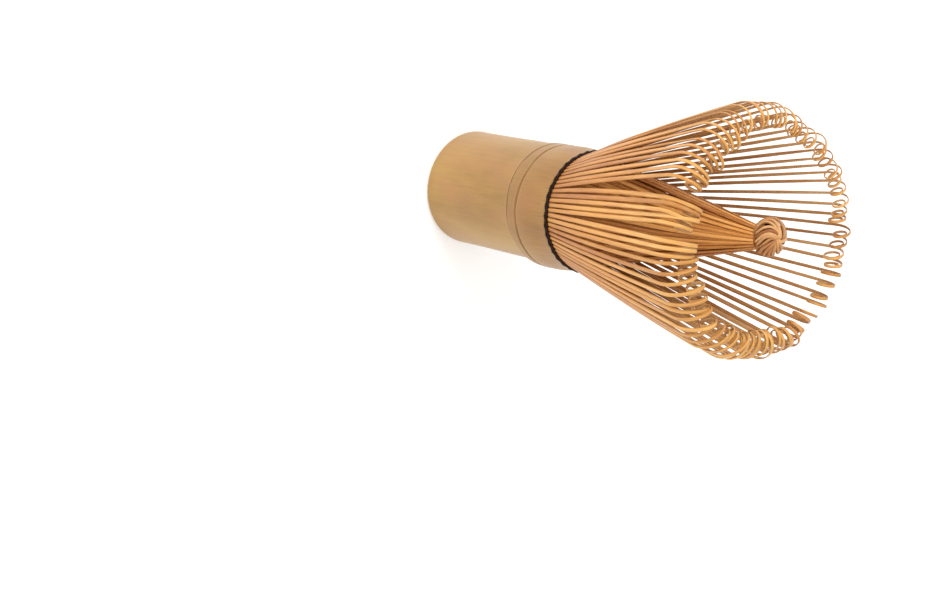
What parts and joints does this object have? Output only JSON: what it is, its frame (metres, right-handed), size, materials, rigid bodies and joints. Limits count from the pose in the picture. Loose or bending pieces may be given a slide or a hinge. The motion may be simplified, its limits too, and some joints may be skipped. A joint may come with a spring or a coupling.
{
  "type": "bamboo tea whisk",
  "caption": "Bamboo whisk for powdered tea: a hollow culm handle, thread-bound springy outer tines that curl at the tips, and inner tines gathered into a knot.",
  "frame": {"origin": "centre of the handle's cut end", "axes": "+Z along the culm from the cut end to the tine tips; +X towards the side that the picture looks at"},
  "size_m": [0.061, 0.0602, 0.1139],
  "materials": {
    "bamboo_skin": "satin",
    "outer_tines": "satin",
    "inner_tines": "satin",
    "core_knot": "satin",
    "thread": "matte"
  },
  "bodies": {
    "root": {"handle": "bamboo_skin", "binding_thread": "thread", "thread_knot": "thread"},
    "core": {"inner_tines_01": "inner_tines", "inner_tines_02": "inner_tines", "inner_tines_03": "inner_tines", "inner_tines_04": "inner_tines", "inner_tines_05": "inner_tines", "inner_tines_06": "inner_tines", "inner_tines_07": "inner_tines", "inner_tines_08": "inner_tines", "core_knot": "core_knot"},
    "split_01": {"outer_tines_01": "outer_tines"},
    "split_02": {"outer_tines_02": "outer_tines"},
    "split_03": {"outer_tines_03": "outer_tines"},
    "split_04": {"outer_tines_04": "outer_tines"},
    "split_05": {"outer_tines_05": "outer_tines"},
    "split_06": {"outer_tines_06": "outer_tines"},
    "split_07": {"outer_tines_07": "outer_tines"},
    "split_08": {"outer_tines_08": "outer_tines"},
    "split_09": {"outer_tines_09": "outer_tines"},
    "split_10": {"outer_tines_10": "outer_tines"},
    "split_11": {"outer_tines_11": "outer_tines"},
    "split_12": {"outer_tines_12": "outer_tines"},
    "split_13": {"outer_tines_13": "outer_tines"},
    "split_14": {"outer_tines_14": "outer_tines"},
    "split_15": {"outer_tines_15": "outer_tines"},
    "split_16": {"outer_tines_16": "outer_tines"}
  },
  "joints": [
    {"name": "split_01_flex", "type": "hinge", "parent": "root", "child": "split_01", "pos_m": [0.01466, 0.00292, 0.05132], "axis": [-0.1951, 0.9808, 0], "range_deg": [-1.5, 4], "stiffness_Nm_per_rad": 0.0285},
    {"name": "split_02_flex", "type": "hinge", "parent": "root", "child": "split_02", "pos_m": [0.01243, 0.00831, 0.05132], "axis": [-0.5556, 0.8315, 0], "range_deg": [-1.5, 4], "stiffness_Nm_per_rad": 0.0285},
    {"name": "split_03_flex", "type": "hinge", "parent": "root", "child": "split_03", "pos_m": [0.00831, 0.01243, 0.05132], "axis": [-0.8315, 0.5556, 0], "range_deg": [-1.5, 4], "stiffness_Nm_per_rad": 0.0285},
    {"name": "split_04_flex", "type": "hinge", "parent": "root", "child": "split_04", "pos_m": [0.00292, 0.01466, 0.05132], "axis": [-0.9808, 0.1951, 0], "range_deg": [-1.5, 4], "stiffness_Nm_per_rad": 0.0285},
    {"name": "split_05_flex", "type": "hinge", "parent": "root", "child": "split_05", "pos_m": [-0.00292, 0.01466, 0.05132], "axis": [-0.9808, -0.1951, 0], "range_deg": [-1.5, 4], "stiffness_Nm_per_rad": 0.0285},
    {"name": "split_06_flex", "type": "hinge", "parent": "root", "child": "split_06", "pos_m": [-0.00831, 0.01243, 0.05132], "axis": [-0.8315, -0.5556, 0], "range_deg": [-1.5, 4], "stiffness_Nm_per_rad": 0.0285},
    {"name": "split_07_flex", "type": "hinge", "parent": "root", "child": "split_07", "pos_m": [-0.01243, 0.00831, 0.05132], "axis": [-0.5556, -0.8315, 0], "range_deg": [-1.5, 4], "stiffness_Nm_per_rad": 0.0285},
    {"name": "split_08_flex", "type": "hinge", "parent": "root", "child": "split_08", "pos_m": [-0.01466, 0.00292, 0.05132], "axis": [-0.1951, -0.9808, 0], "range_deg": [-1.5, 4], "stiffness_Nm_per_rad": 0.0285},
    {"name": "split_09_flex", "type": "hinge", "parent": "root", "child": "split_09", "pos_m": [-0.01466, -0.00292, 0.05132], "axis": [0.1951, -0.9808, 0], "range_deg": [-1.5, 4], "stiffness_Nm_per_rad": 0.0285},
    {"name": "split_10_flex", "type": "hinge", "parent": "root", "child": "split_10", "pos_m": [-0.01243, -0.00831, 0.05132], "axis": [0.5556, -0.8315, 0], "range_deg": [-1.5, 4], "stiffness_Nm_per_rad": 0.0285},
    {"name": "split_11_flex", "type": "hinge", "parent": "root", "child": "split_11", "pos_m": [-0.00831, -0.01243, 0.05132], "axis": [0.8315, -0.5556, 0], "range_deg": [-1.5, 4], "stiffness_Nm_per_rad": 0.0285},
    {"name": "split_12_flex", "type": "hinge", "parent": "root", "child": "split_12", "pos_m": [-0.00292, -0.01466, 0.05132], "axis": [0.9808, -0.1951, 0], "range_deg": [-1.5, 4], "stiffness_Nm_per_rad": 0.0285},
    {"name": "split_13_flex", "type": "hinge", "parent": "root", "child": "split_13", "pos_m": [0.00292, -0.01466, 0.05132], "axis": [0.9808, 0.1951, 0], "range_deg": [-1.5, 4], "stiffness_Nm_per_rad": 0.0285},
    {"name": "split_14_flex", "type": "hinge", "parent": "root", "child": "split_14", "pos_m": [0.00831, -0.01243, 0.05132], "axis": [0.8315, 0.5556, 0], "range_deg": [-1.5, 4], "stiffness_Nm_per_rad": 0.0285},
    {"name": "split_15_flex", "type": "hinge", "parent": "root", "child": "split_15", "pos_m": [0.01243, -0.00831, 0.05132], "axis": [0.5556, 0.8315, 0], "range_deg": [-1.5, 4], "stiffness_Nm_per_rad": 0.0285},
    {"name": "split_16_flex", "type": "hinge", "parent": "root", "child": "split_16", "pos_m": [0.01466, -0.00292, 0.05132], "axis": [0.1951, 0.9808, 0], "range_deg": [-1.5, 4], "stiffness_Nm_per_rad": 0.0285},
    {"name": "core_sway", "type": "hinge", "parent": "root", "child": "core", "pos_m": [0, 0, 0.05132], "axis": [1, 0, 0], "range_deg": [-3, 3], "stiffness_Nm_per_rad": 0.25}
  ]
}
